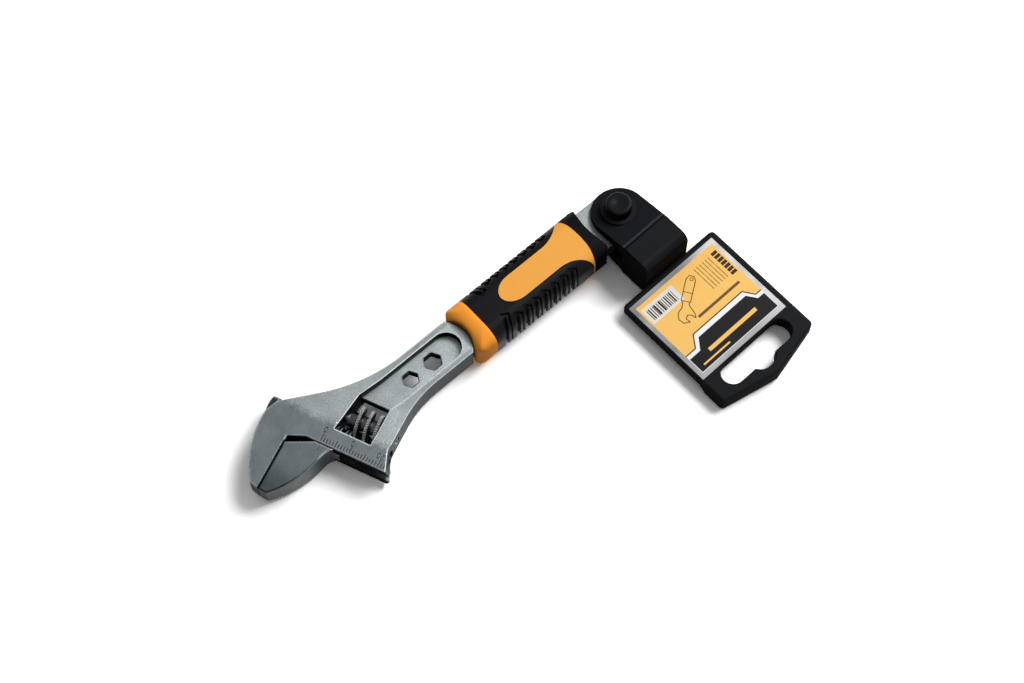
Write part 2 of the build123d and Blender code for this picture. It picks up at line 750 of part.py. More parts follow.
# ---- hanger pin: split stud with a barb below and a button above ------------------------------
with BuildPart() as hanger_pin:
    with BuildSketch(hanger_side):
        with BuildLine():
            Polyline(
                (0, button_top - button_dish),
                (0, -barb_end),
                (stud_radius, -barb_end),
                (stud_radius + barb_over, -barb_end + barb_thick - seat_fit),
                (stud_radius, -barb_end + barb_thick),
                (stud_radius, ear_seat),
                (flange_radius, ear_seat),
                (flange_radius, ear_seat + flange_thick),
                (button_foot, ear_seat + flange_thick),
                (button_radius, button_top - button_round),
            )
            Line((button_radius, button_top - button_round), (button_radius - button_round, button_top))
            Line((button_radius - button_round, button_top), (0, button_top - button_dish))
        make_face()
    revolve(axis=Axis((hanger_x, hanger_y, 0), (0, 0, 1)))
    with BuildSketch(hanger.offset(-barb_end)):
        Rectangle(split_width, 4 * stud_radius)
    extrude(amount=barb_end, mode=Mode.SUBTRACT)

# ---- one file for each piece ------------------------------------------------------------------
pieces = {
    "wrench_body": wrench_body,
    "movable_jaw": movable_jaw,
    "worm": worm,
    "worm_pin": worm_pin,
    "worm_spring": worm_spring,
    "grip_core": grip_core,
    "grip_cover": grip_cover,
    "grip_end": grip_end,
    "hanger": hanger_body,
    "hanger_pin": hanger_pin,
    "label_card": label_card,
}
for piece_name, piece in pieces.items():
    piece.part.label = piece_name
    export_step(piece.part, f"parts/{piece_name}.step")
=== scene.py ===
"""Adjustable wrench with a two-colour grip and a hanger: finishes, fine pieces and studio."""

import enum
import json
import logging
import math
from collections.abc import Callable, Sequence
from dataclasses import dataclass
from functools import cached_property

import bmesh
import bpy
import numpy as np
from mathutils import Matrix, Vector


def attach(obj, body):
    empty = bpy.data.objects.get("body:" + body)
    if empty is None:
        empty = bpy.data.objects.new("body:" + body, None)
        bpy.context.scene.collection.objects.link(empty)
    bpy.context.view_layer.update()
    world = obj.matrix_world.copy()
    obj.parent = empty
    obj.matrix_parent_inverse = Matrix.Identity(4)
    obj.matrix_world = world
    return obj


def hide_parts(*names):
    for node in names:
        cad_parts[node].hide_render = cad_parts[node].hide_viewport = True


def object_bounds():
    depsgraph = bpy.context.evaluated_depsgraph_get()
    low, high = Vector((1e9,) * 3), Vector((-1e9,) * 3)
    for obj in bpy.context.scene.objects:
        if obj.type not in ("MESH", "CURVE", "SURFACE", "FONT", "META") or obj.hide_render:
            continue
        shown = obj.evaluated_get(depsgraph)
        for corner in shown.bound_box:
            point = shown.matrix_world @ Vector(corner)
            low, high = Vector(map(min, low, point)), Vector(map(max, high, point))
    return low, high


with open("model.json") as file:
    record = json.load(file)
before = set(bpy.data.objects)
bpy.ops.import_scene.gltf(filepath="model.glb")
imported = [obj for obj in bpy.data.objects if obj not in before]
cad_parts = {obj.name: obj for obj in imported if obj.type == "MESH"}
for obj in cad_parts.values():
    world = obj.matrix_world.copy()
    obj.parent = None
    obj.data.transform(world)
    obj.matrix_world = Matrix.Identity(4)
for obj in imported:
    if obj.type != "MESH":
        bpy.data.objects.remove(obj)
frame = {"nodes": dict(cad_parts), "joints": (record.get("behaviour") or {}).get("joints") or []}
cad_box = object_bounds()

MM = 0.001
Colour = tuple[float, float, float]
Place = tuple[float, float, float]
Plan = tuple[float, float]
Span = tuple[float, float]
Box = tuple[Plan, Plan]
Link = bpy.types.NodeSocket
Material = bpy.types.Material
Piece = bpy.types.Object
HANGER_ACROSS: Plan = (math.cos(math.radians(1.3)), math.sin(math.radians(1.3)))
RUBBER: Colour = (0.007, 0.007, 0.0085)
PLASTIC: Colour = (0.0095, 0.0102, 0.0122)
# Lighter edge colour of the stud: wear and painted highlight.
STUD_EDGE_HIGHLIGHT: Colour = (0.03, 0.03, 0.032)
log = logging.getLogger("wrench")


class Body(enum.Enum):
    """The moving bodies that new pieces ride on."""

    WORM = "thumb_worm"
    HANGER = "hanger"


class Slot(enum.Enum):
    """Names of the record's finishes for the worm and the stud."""

    WORM = "steel_worm"
    STUD = "stud_plastic"


def linear(red: float, green: float, blue: float) -> Colour:
    """Turn a display colour, each part from 0 to 255, into the linear one of a shader."""
    seen = np.array((red, green, blue)) / 255
    return tuple(np.where(seen <= 0.04045, seen / 12.92, ((seen + 0.055) / 1.055) ** 2.4).tolist())


def joint(name: str) -> dict:
    """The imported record's joint of that name."""
    return next(one for one in frame["joints"] if one["name"] == name)


# ---- shader maths ----
def step(operation: str, flip: bool = False) -> Callable[..., "Socket"]:
    """Make a method of Socket that works out one step of arithmetic.

    Args:
        operation: Blender's name for the step.
        flip: Whether the number stands last, as where it is taken from a plain one.

    Returns:
        The method.
    """

    def method(self: "Socket", *others: "Socket | float") -> "Socket":
        """Work out the step on the number and the others."""
        return self.recipe.math(operation, *((*others, self) if flip else (self, *others)))

    return method


@dataclass(frozen=True, eq=False)
class Socket:
    """A number that comes out of a node, so that maths on it reads as arithmetic.

    A comparison gives 1 where it holds, else 0, and a remainder never goes below zero.
    """

    recipe: "Recipe"
    link: Link

    __add__ = __radd__ = step("ADD")
    __mul__ = __rmul__ = step("MULTIPLY")
    __sub__, __rsub__ = step("SUBTRACT"), step("SUBTRACT", flip=True)
    __truediv__, __pow__, __mod__ = step("DIVIDE"), step("POWER"), step("FLOORED_MODULO")
    __abs__, __round__ = step("ABSOLUTE"), step("ROUND")
    __lt__, __gt__ = step("LESS_THAN"), step("GREATER_THAN")
    least, most = step("MINIMUM"), step("MAXIMUM")

    def rest(self, share: float = 1.0) -> "Socket":
        """What is left of 1 when that share of the number is taken away."""
        return 1.0 - self * share

    def swing(self, size: float) -> "Socket":
        """Turn a number from 0 to 1 into a change about zero that spans that size."""
        return (self - 0.5) * size

    def stripes(self, start: float, period: float, half: float) -> "Socket":
        """Distance past the nearest of equal stripes with that half width, counted from start."""
        return abs((self - start) % period - period / 2) - half

    def rise(self, low: float, high: float) -> "Socket":
        """Go smoothly from 0 at low to 1 at high."""
        sockets = {"Value": self, "From Min": low, "From Max": high}
        return self.recipe.number("MapRange", sockets, interpolation_type="SMOOTHSTEP")

    def fall(self, low: float, high: float) -> "Socket":
        """Go smoothly from 1 at low to 0 at high."""
        return 1.0 - self.rise(low, high)

    def hypot(self, other: "Socket") -> "Socket":
        """Root of the sum of both squares."""
        return (self * self + other * other) ** 0.5

    def past(self, low: float, high: float) -> "Socket":
        """Distance outside a range, below zero inside it."""
        return abs(self - (low + high) / 2) - (high - low) / 2

    def band(self, low: float, high: float, blur: float) -> "Socket":
        """1 between two values, fading over that much either side of each."""
        return self.rise(low - blur, low + blur) * self.fall(high - blur, high + blur)


class Recipe:
    """The nodes of one material, or of the sky."""

    def __init__(self, name: str, sky: bool = False) -> None:
        """Start empty.

        Args:
            name: Name of the material or the sky.
            sky: Whether it is the sky.
        """
        self.block = (bpy.data.worlds if sky else bpy.data.materials).new(name)
        self.block.use_nodes = True
        self.tree = self.block.node_tree
        self.tree.nodes.clear()

    def node(
        self, kind: str, sockets: dict[str | int, object] | None = None, **settings: object
    ) -> bpy.types.Node:
        """Add one node.

        Args:
            kind: Blender's name for its type, without the word that starts them all.
            sockets: What its sockets hold: a number, a colour, a vector, or a link.
            **settings: Its own options, set first.

        Returns:
            The node.
        """
        made = self.tree.nodes.new("ShaderNode" + kind)
        for name, value in settings.items():
            setattr(made, name, value)
        for name, value in (sockets or {}).items():
            entry = made.inputs[name]
            value = value.link if isinstance(value, Socket) else value
            if isinstance(value, Link):
                self.tree.links.new(value, entry)
            else:
                entry.default_value = (*value, 1.0) if entry.type == "RGBA" else value
        return made

    def number(
        self, kind: str, sockets: dict[str | int, object], output: int = 0, **settings: object
    ) -> Socket:
        """Add one node, and give one of its outputs as a number."""
        return Socket(self, self.node(kind, sockets, **settings).outputs[output])

    def math(self, operation: str, *values: Socket | float) -> Socket:
        """Work out one step of arithmetic."""
        return self.number("Math", dict(enumerate(values)), operation=operation)

    def vector(self, operation: str, *values: object) -> Link:
        """Work out one step of vector maths, and give the vector."""
        return self.node("VectorMath", dict(enumerate(values)), operation=operation).outputs[0]

    def dot(self, first: object, second: object) -> Socket:
        """Dot product of two vectors."""
        return self.number("VectorMath", {0: first, 1: second}, 1, operation="DOT_PRODUCT")

    def bundle(self, *numbers: Socket | float) -> Link:
        """Make one vector of up to three numbers."""
        return self.node("CombineXYZ", dict(enumerate(numbers))).outputs[0]

    @cached_property
    def place(self) -> Link:
        """Place on the piece at rest, in millimetres, from one node that all of it shares."""
        return self.vector("MULTIPLY", self.node("TexCoord").outputs["Object"], (1 / MM,) * 3)

    def axis(self, which: int) -> Socket:
        """One coordinate of the place on the piece: 0 for x, 1 for y and 2 for z."""
        return self.dot(self.place, tuple(float(other == which) for other in range(3)))

    def noise(
        self, scale: float, detail: float = 2.0, roughness: float = 0.5, place: Link | None = None
    ) -> Socket:
        """Cloudy noise from 0 to 1.

        Args:
            scale: Blotches to the millimetre.
            detail: How many finer layers are added.
            roughness: How strong the finer layers are.
            place: Vector that it is read at, in millimetres, or None for the place on the piece.

        Returns:
            The noise.
        """
        place = self.place if place is None else place
        sockets = {"Vector": place, "Scale": scale, "Detail": detail, "Roughness": roughness}
        return self.number("TexNoise", sockets)

    def mix(self, share: Socket | float, first: object, second: object) -> Link:
        """Blend two colours: first where share is 0, second where it is 1."""
        sockets = {0: share, 6: first, 7: second}
        return self.node("Mix", sockets, data_type="RGBA", clamp_factor=True).outputs[2]

    def tint(self, colour: object, shade: Socket) -> Link:
        """A colour made darker or lighter by one number."""
        return self.vector("MULTIPLY", colour, self.bundle(shade, shade, shade))

    def straight(self) -> Link:
        """The face's own direction."""
        return self.node("NewGeometry").outputs["Normal"]

    def bevel(self, radius: float, samples: int = 6) -> Link:
        """Direction of the surface with its edges rounded by that many millimetres."""
        return self.node("Bevel", {"Radius": radius * MM}, samples=samples).outputs[0]

    def edges(
        self, radius: float, low: float = 0.01, high: float = 0.25, samples: int = 6
    ) -> tuple[Link, Socket]:
        """Rounded direction, and a number that grows from 0 on flat faces to 1 on the edges."""
        rounded = self.bevel(radius, samples)
        return rounded, (1.0 - self.dot(rounded, self.straight())).rise(low, high)

    def rim(self, radius: float) -> Socket:
        """A narrow line along every edge, inside and outside, as wide as that many millimetres."""
        return self.edges(radius, 0.002, 0.03, 8)[1]

    def soften(self, normal: Link, share: Socket, radius: float) -> Link:
        """Swap a direction for one rounded by that many millimetres, where share is 1."""
        change = self.tint(self.vector("SUBTRACT", self.bevel(radius, 12), normal), share)
        return self.vector("NORMALIZE", self.vector("ADD", normal, change))

    def upright(self) -> Socket:
        """0 on level faces and 1 on upright ones, from the face's own direction."""
        return abs(self.dot(self.straight(), (0.0, 0.0, 1.0))).fall(0.25, 0.8)

    def finish(
        self, colour: object, roughness: Socket | float, relief: Socket | None, normal: Link,
        metallic: Socket | float = 0.0, shine: float = 0.5,
    ) -> Material:
        """Close the recipe with one surface shader.

        Args:
            colour: Base colour.
            roughness: From 0 for a mirror to 1 for chalk.
            relief: Height in millimetres, or None.
            normal: Direction that the relief is laid on.
            metallic: 1 for bare metal, else 0.
            shine: Strength of what a surface that is no metal mirrors.

        Returns:
            The finished material.
        """
        if relief is not None:
            bump = {"Height": relief, "Distance": MM, "Strength": 1.0, "Normal": normal}
            normal = self.node("Bump", bump).outputs[0]
        sockets = {"Base Color": colour, "Roughness": roughness, "Specular IOR Level": shine}
        shader = self.node("BsdfPrincipled", sockets | {"Normal": normal, "Metallic": metallic})
        self.node("OutputMaterial", {"Surface": shader.outputs[0]})
        return self.block


@dataclass(frozen=True)
class Axes:
    """Two axes in the plan of the wrench, square to each other, in millimetres."""

    origin: Plan
    first: Plan
    second: Plan

    def read(self, recipe: Recipe) -> tuple[Socket, Socket]:
        """The two coordinates of a place on the piece."""
        moved = recipe.vector("SUBTRACT", recipe.place, (*self.origin, 0.0))
        return recipe.dot(moved, (*self.first, 0.0)), recipe.dot(moved, (*self.second, 0.0))

    def points(self, first: np.ndarray, second: np.ndarray, height: np.ndarray) -> np.ndarray:
        """Places with x, y and z last: origin + first * its axis + second * its axis, at height."""
        x, y = (self.origin[i] + first * self.first[i] + second * self.second[i] for i in (0, 1))
        return np.stack((x, y, height + 0 * x), axis=-1)


def head_axes() -> Axes:
    """Along the clamping faces, and the way the jaw opens."""
    opening = joint("jaw_slide")["axis"]
    return Axes((0.0, 0.0), (-opening[1], opening[0]), (opening[0], opening[1]))


def hanger_axes() -> Axes:
    """Across the hanger, and from its pin to its far end."""
    x, y = joint("hanger_swivel")["pos_m"][:2]
    return Axes((x / MM, y / MM), HANGER_ACROSS, (HANGER_ACROSS[1], -HANGER_ACROSS[0]))


@dataclass(frozen=True)
class Drawing:
    """Flat shapes drawn by their distance from two coordinates; an edge fades over the blur."""

    across: Socket
    up: Socket
    blur: float = 0.05

    def ink(self, distance: Socket) -> Socket:
        """1 inside a shape, where the distance is below zero, fading over its edge."""
        return distance.fall(-self.blur, self.blur)

    def block(self, low: Plan, high: Plan) -> Socket:
        """A filled rectangle between its low and high corners."""
        return self.ink(self.across.past(low[0], high[0]).most(self.up.past(low[1], high[1])))

    def below(self, points: Sequence[Plan]) -> Socket:
        """All that lies further up than a bent line.

        Args:
            points: Corners of the line in order of across.

        Returns:
            1 where up is greater than the line, else 0.
        """
        line: Socket | float = points[0][1]
        for (x0, y0), (x1, y1) in zip(points, points[1:]):
            if y0 != y1:
                run = {"Value": self.across, "From Min": x0, "From Max": x1}
                line = line + (y1 - y0) * self.across.recipe.number("MapRange", run)
        return self.ink(line - self.up)

    def stroke(self, points: Sequence[Plan], width: float) -> Socket:
        """A bent line: the least distance to its straight runs, less half its width.

        Args:
            points: Corners of the line in order.
            width: Width of the line, in millimetres.

        Returns:
            1 on the line, else 0.
        """
        nearest: Socket | None = None
        for (x0, y0), (x1, y1) in zip(points, points[1:]):
            run, climb = x1 - x0, y1 - y0
            right, over = self.across - x0, self.up - y0
            share = (right * run + over * climb) / (run * run + climb * climb)
            share = share.most(0.0).least(1.0)
            gap = (right - share * run) ** 2.0 + (over - share * climb) ** 2.0
            nearest = gap if nearest is None else nearest.least(gap)
        return self.ink(nearest**0.5 - width / 2)

    def loop(self, centre: Plan, half: Plan, width: float) -> Socket:
        """An ellipse's outline, from how far its scaled radius is from 1."""
        right, over = (self.across - centre[0]) / half[0], (self.up - centre[1]) / half[1]
        return self.ink(abs(right.hypot(over) - 1.0) * min(half) - width / 2)


@dataclass(frozen=True)
class Spot:
    """Where a place on the head is: along the clamping faces, the way the jaw opens, and up."""

    recipe: Recipe
    reach: Socket
    way: Socket
    height: Socket

    def sheet(self, blur: float = 0.05) -> Drawing:
        """Flat shapes drawn on reach and way."""
        return Drawing(self.reach, self.way, blur)

    def scratches(self, climb: float) -> Socket:
        """Fine grinding lines along the clamping faces, closer together up a face by climb."""
        place = self.recipe.bundle(self.reach * 0.12, self.way * 3.2, self.height * climb)
        return self.recipe.noise(2.0, 3.0, 0.6, place)

    def jaw_gap_unshaded(self) -> Socket:
        """What the painted shade in the gap between the closed faces and in the throat leaves of a
        colour.
        """
        return self.sheet(0.08).block((-11.0, -0.34), (8.2, 0.5)).rest(0.9)


def head_spot(recipe: Recipe) -> Spot:
    """The place on the head that a recipe is read at."""
    return Spot(recipe, *head_axes().read(recipe), recipe.axis(2))


# ---- finishes ----
@dataclass(frozen=True)
class ScaleMarks:
    """The millimetre scale that is etched beside the lip edge, with its numbers.

    Each of the numerals has its value, its row along the clamping faces, how far its figures stand
    from its middle, and how far it is set back from its tick.
    """

    start: float = 12.85
    zero: float = 10.35
    step: float = 1.01
    count: int = 22
    short: float = 1.5
    fifth_extra: float = 0.5
    tenth_extra: float = 0.6
    width: float = 0.34
    blur: float = 0.07
    number_shift: float = 0.25
    number_half: Plan = (0.42, 0.88)
    number_line: float = 0.22
    one_half: float = 0.92
    numerals: tuple[tuple[int, float, float, float], ...] = (
        (0, 16.9, 0.4, 0.0), (10, 16.35, 0.6, 0.0), (20, 16.3, 0.7, 0.75),
    )
    two: tuple[Plan, ...] = (
        (-0.46, 0.48), (-0.3, 0.8), (0.02, 0.9), (0.36, 0.76), (0.44, 0.42), (0.24, 0.02),
        (-0.5, -0.88), (0.5, -0.88),
    )

    def ticks(self, spot: Spot) -> Socket:
        """Ticks a millimetre apart, longer at each fifth and tenth.

        Args:
            spot: Place on the head.

        Returns:
            1 on a tick, else 0.
        """
        run = (spot.way - self.zero) / self.step
        number = round(run)
        fifth = ((number + 0.25) % 5.0) < 0.5
        tenth = ((number + 0.25) % 10.0) < 0.5
        length = self.short + fifth * self.fifth_extra + tenth * self.tenth_extra
        over = abs(spot.reach - self.start - length / 2) - length / 2
        beside = abs(run - number) - self.width / 2
        outside = run.past(-0.5, self.count + 0.5)
        return spot.sheet(self.blur).ink(over.most(beside).most(outside))

    def draw(self, spot: Spot) -> Socket:
        """The ticks, and the numbers 0, 10 and 20, which read from the far side of the head.

        Args:
            spot: Place on the head.

        Returns:
            1 on a mark, else 0.
        """
        marks, half = self.ticks(spot), self.number_line / 2
        for value, row, spread, back in self.numerals:
            middle = self.zero + value * self.step + self.number_shift - back
            sheet = Drawing(middle - spot.way, row - spot.reach, self.blur)
            marks = marks.most(sheet.loop((spread, 0.0), self.number_half, self.number_line))
            if value == 10:
                low, high = (-spread - half, -self.one_half), (-spread + half, self.one_half)
                marks = marks.most(sheet.block(low, high))
            if value == 20:
                two = [(x - spread, y) for x, y in self.two]
                marks = marks.most(sheet.stroke(two, self.number_line))
        return marks


@dataclass(frozen=True)
class HeadSteel:
    """Matt-plated forged steel: finely pebbled, but ground flat and lined on the head's faces."""

    forged: Colour = (0.37, 0.41, 0.42)
    ground: Colour = (0.3, 0.345, 0.365)
    wear_and_glint: Colour = (0.9, 0.92, 0.93)
    etched: Colour = (0.016, 0.014, 0.012)
    side_shade: float = 0.88
    lip_shade: float = 0.85
    inner_shade: float = 0.8
    inner_line_shade: float = 0.75
    bore_shade: float = 0.88
    rail_shade: float = 0.2
    slot_light: float = 0.32
    ground_end: Span = (17.8, 21.0)
    ground_ragged: float = 7.0
    ground_step: Span = (19.8, 21.6)
    ground_rise: Span = (5.05, 5.15)
    mark_rise: Span = (5.1, 5.2)
    window_wall: float = 25.7
    rounding: float = 0.42
    rim_width: float = 0.75
    pebble: float = 2.0
    pebble_depth: float = 0.07
    line_depth: float = 0.006
    mark_depth: float = 0.02
    shine: float = 0.85
    window: Box = ((17.9, 11.9), (33.4, 28.6))
    slot: Box = ((36.0, -12.1), (73.0, -0.7))
    marks: ScaleMarks = ScaleMarks()

    def make(self) -> Material:
        """Build the material.

        Returns:
            The material.
        """
        recipe = Recipe("head_steel")
        spot = head_spot(recipe)
        flat, inner, lip = self.flat(spot), self.hollows(spot), self.lip(spot)
        upright = recipe.upright()
        pebbles = recipe.noise(self.pebble, 3.0, 0.65)
        lines = spot.scratches(1.0)
        marks = self.marks.draw(spot) * spot.height.rise(*self.mark_rise)
        line = recipe.rim(self.rim_width) * upright.rest()
        high = abs(spot.height).rise(3.6, 3.9)
        shade = recipe.noise(0.16, 3.0).swing(0.5) + pebbles.swing(1.1) * flat.rest()
        # Painted shade: upright faces, the lip's outer face, the walls of the window and the slot,
        # and the rail's bore are darkened.
        shade = (shade + lines.swing(0.3) * flat + 1.0) * upright.rest(self.side_shade)
        shade = shade * lip.rest(self.lip_shade) * (inner * upright).rest(self.inner_shade)
        shade = shade * self.bore(spot).rest(self.bore_shade)
        rail = inner * self.slot_light - self.rail_shade
        shade = shade * (recipe.axis(0).rise(36.0, 52.0) * rail + 1.0)
        # Painted shade: a dark line along the low inner edges of the window and the slot.
        shade = shade * (line * high.rest() * inner).rest(self.inner_line_shade)
        # Painted highlight: bright lines along the upper edges, in the wear-and-glint colour and
        # less metallic.
        glint = line * high * pebbles.rise(0.3, 0.5) * (0.45 + inner * 0.55)
        glint = glint * self.step(spot, inner).rest()
        colour = recipe.tint(recipe.mix(flat, self.forged, self.ground), shade)
        # Painted shade in the gap between the jaws and in the throat.
        colour = recipe.tint(recipe.mix(glint * self.shine, colour, self.wear_and_glint), spot.jaw_gap_unshaded())
        colour = recipe.mix(marks * 0.97, colour, self.etched)
        roughness = 0.44 - flat * 0.15 + pebbles.swing(0.2) + lines.swing(0.1) * flat
        roughness = roughness + marks * 0.25 + lip * 0.45 + upright * 0.14
        relief = pebbles * self.pebble_depth * flat.rest() + lines * self.line_depth * flat
        relief = relief - marks * self.mark_depth
        rounded = recipe.bevel(self.rounding)
        return recipe.finish(colour, roughness, relief, rounded, metallic=glint.rest(0.8))

    def flat(self, spot: Spot) -> Socket:
        """1 on the head's ground faces, which end in a ragged line, else 0."""
        ragged = spot.reach + spot.recipe.noise(0.35, 4.0, 0.65).swing(self.ground_ragged)
        return ragged.fall(*self.ground_end) * abs(spot.height).rise(*self.ground_rise)

    def lip(self, spot: Spot) -> Socket:
        """1 on the lip's outer face, which looks away from the handle, else 0."""
        outward = spot.recipe.dot(spot.recipe.straight(), (*head_axes().first, 0.0))
        return outward.fall(-0.85, -0.4) * spot.reach.rise(10.5, 11.5) * spot.way.rise(3.0, 5.0)

    def bore(self, spot: Spot) -> Socket:
        """1 inside the rail's bore and its slot, else 0."""
        along = spot.reach.rise(11.9, 12.1) * spot.reach.fall(19.0, 20.0)
        return along * spot.way.band(5.5, 33.5, 0.5) * abs(spot.height).fall(4.3, 4.6)

    def step(self, spot: Spot, inner: Socket) -> Socket:
        """1 along the low step where the ground face ends, which takes no painted highlight line,
        else 0.
        """
        beside = spot.reach.band(*self.ground_step, 0.1)
        return beside * (inner * (spot.way < self.window_wall)).rest()

    def hollows(self, spot: Spot) -> Socket:
        """1 in the worm's window and in the handle's slot, with a little of their rims, else 0."""
        handle = Drawing(spot.recipe.axis(0), spot.recipe.axis(1))
        return spot.sheet().block(*self.window).most(handle.block(*self.slot))


@dataclass(frozen=True)
class JawSteel:
    """Satin ground steel, a little darker than the head, with one etched index mark."""

    ground: Colour = (0.245, 0.288, 0.305)
    wear_and_glint: Colour = (0.8, 0.82, 0.83)
    etched: Colour = (0.06, 0.055, 0.05)
    tip_shade: float = 0.55
    rail_shade: float = 0.75
    side_shade: float = 0.7
    line_shade: float = 0.75
    shine: float = 0.6
    rounding: float = 0.35
    rim_width: float = 0.6
    line_depth: float = 0.006
    mark_depth: float = 0.02
    mark_width: float = 0.28
    mark: Box = ((9.5, 10.92), (11.1, 10.92))

    def make(self) -> Material:
        """Build the material.

        Returns:
            The material.
        """
        recipe = Recipe("jaw_steel")
        spot = head_spot(recipe)
        lines = spot.scratches(0.6)
        mark = spot.sheet(0.07).stroke(self.mark, self.mark_width) * spot.height.rise(5.1, 5.2)
        upright, rail = recipe.upright(), spot.reach.rise(11.6, 12.4)
        shade = recipe.noise(0.2, 3.0).swing(0.4) + lines.swing(0.3) + 1.0
        # Painted shade: darker towards the tip, on upright faces, and on the rail under the lip.
        shade = shade - spot.reach.fall(-9.5, 4.0) * self.tip_shade
        shade = shade * upright.rest(self.side_shade) * rail.rest(self.rail_shade)
        # Painted highlight along the upper edges away from the tip; a painted dark line along the
        # edges near the tip.
        line = recipe.rim(self.rim_width) * upright.rest()
        bright = spot.reach.rise(6.0, 8.5)
        glint = line * bright * self.shine
        shade = shade * (line * bright.rest()).rest(self.line_shade)
        colour = recipe.mix(glint, recipe.tint(self.ground, shade), self.wear_and_glint)
        # Painted shade in the gap between the jaws and in the throat.
        colour = recipe.mix(mark * 0.85, recipe.tint(colour, spot.jaw_gap_unshaded()), self.etched)
        roughness = 0.3 + lines.swing(0.12) + upright * 0.12 + mark * 0.2
        relief = lines * self.line_depth - mark * self.mark_depth
        rounded = recipe.bevel(self.rounding)
        return recipe.finish(colour, roughness, relief, rounded, metallic=glint.rest(0.6))


@dataclass(frozen=True)
class WormSteel:
    """Steel painted near black as shade in the window, with crests painted bright for wear and
    highlight.
    """

    axis_reach: float
    dark: Colour = (0.02, 0.021, 0.022)
    bright: Colour = (0.86, 0.88, 0.9)
    crest: float = 5.75
    crest_shine: float = 0.95
    core_shine: float = 0.12
    rounding: float = 0.08
    turning_depth: float = 0.012

    def make(self) -> Material:
        """Build the material.

        Returns:
            The material.
        """
        recipe = Recipe("worm_steel")
        spot = head_spot(recipe)
        off = spot.reach - self.axis_reach
        radius = off.hypot(spot.height)
        place = recipe.bundle(radius * 2.0, spot.way * 4.0, spot.height * 0.2)
        turned = recipe.noise(1.5, place=place)
        # Painted highlight on the crests, which also stands for wear, and a smaller painted
        # highlight on the core.
        crests = radius.rise(self.crest - 0.2, self.crest - 0.05)
        core = radius.fall(3.2, 3.7)
        bright = (crests * self.crest_shine + core * self.core_shine).least(1.0)
        colour = recipe.mix(bright, self.dark, self.bright)
        roughness = 0.36 + turned.swing(0.2) - core * 0.16
        relief = turned * self.turning_depth
        return recipe.finish(colour, roughness, relief, recipe.bevel(self.rounding), metallic=1.0)


@dataclass(frozen=True)
class TurnedSteel:
    """Plain steel of a pin or a spring, with fine turning lines and edges painted bright for wear
    and highlight.
    """

    name: str
    colour: Colour
    wear_and_glint: Colour = (0.8, 0.8, 0.8)
    rounding: float = 0.12
    turning_depth: float = 0.006

    def make(self) -> Material:
        """Build the material.

        Returns:
            The material.
        """
        recipe = Recipe(self.name)
        way = head_axes().read(recipe)[1]
        lines = recipe.noise(1.0, place=recipe.bundle(way * 6.0))
        cloud = recipe.noise(0.8)
        rounded, edge = recipe.edges(self.rounding)
        shade = lines.swing(0.3) + cloud.swing(0.2) + 1.0
        # Edges painted bright: wear and painted highlight.
        colour = recipe.mix(edge * 0.5, recipe.tint(self.colour, shade), self.wear_and_glint)
        relief = lines * self.turning_depth
        return recipe.finish(colour, 0.3 + cloud.swing(0.2), relief, rounded, metallic=1.0)


def arc_radius(half: float, bulge: float) -> float:
    """Radius of a round arc, from half its width and how far it bulges."""
    return (half**2 + bulge**2) / (2 * bulge)


@dataclass(frozen=True)
class InlayOutline:
    """The dark joint between the grip's orange inlay and its black cover, drawn on both."""

    colour: Colour = (0.004, 0.003, 0.003)
    axis_y: float = -6.4
    tip: float = 90.6
    shoulder: float = 97.6
    half: float = 4.9
    flare_start: float = 112.6
    flare_reach: float = 10.3
    flare_climb: float = 5.14
    ring_back: float = 125.4
    ring_bulge: float = 1.5
    ring_half: float = 10.0
    width: float = 0.5
    blur: float = 0.08

    def paint(self, recipe: Recipe, colour: Link) -> Link:
        """Draw the inlay's plan: an ellipse at its tip, straight sides, and round flares.

        Args:
            recipe: Recipe that the line belongs to.
            colour: Colour beside the line.

        Returns:
            The colour with the line on it.
        """
        x, off = recipe.axis(0), abs(recipe.axis(1) - self.axis_y)
        ahead = (self.shoulder - x).most(0.0) / (self.shoulder - self.tip)
        oval = (ahead.hypot(off / self.half) - 1.0) * self.half
        bend = arc_radius(self.flare_reach, self.flare_climb)
        flare = bend - (x - self.flare_start).most(0.0).hypot(off - (self.half + bend))
        front = abs(oval) * (x < self.flare_start) + abs(flare) * (x > self.flare_start)
        ring = arc_radius(self.ring_half, self.ring_bulge)
        back = abs((x - (self.ring_back - ring)).hypot(off) - ring)
        line = Drawing(x, off, self.blur).ink(front.least(back) - self.width / 2)
        return recipe.mix(line, colour, self.colour)


@dataclass(frozen=True)
class EarStep:
    """Painted light and shade of the small step across the hanger's upper ear: a painted highlight
    on its ridge and painted shadow in its groove.
    """

    ridge_highlight_colour: Colour = (0.034, 0.036, 0.04)
    groove_shadow_colour: Colour = (0.004, 0.004, 0.005)
    ridge: Span = (11.2, 12.1)
    groove: Span = (12.2, 12.75)
    blur: float = 0.12

    def paint(self, recipe: Recipe, colour: Link) -> Link:
        """Lay both bands on the level faces, each between two distances from the pin.

        Args:
            recipe: Recipe that the bands belong to.
            colour: Colour beside them.

        Returns:
            The colour with both bands on it.
        """
        down, level = hanger_axes().read(recipe)[1], recipe.upright().rest()
        bands = ((self.ridge, self.ridge_highlight_colour), (self.groove, self.groove_shadow_colour))
        # Painted highlight on the ridge and painted shadow in the groove.
        for reach, ink in bands:
            colour = recipe.mix(down.band(*reach, self.blur) * level, colour, ink)
        return colour


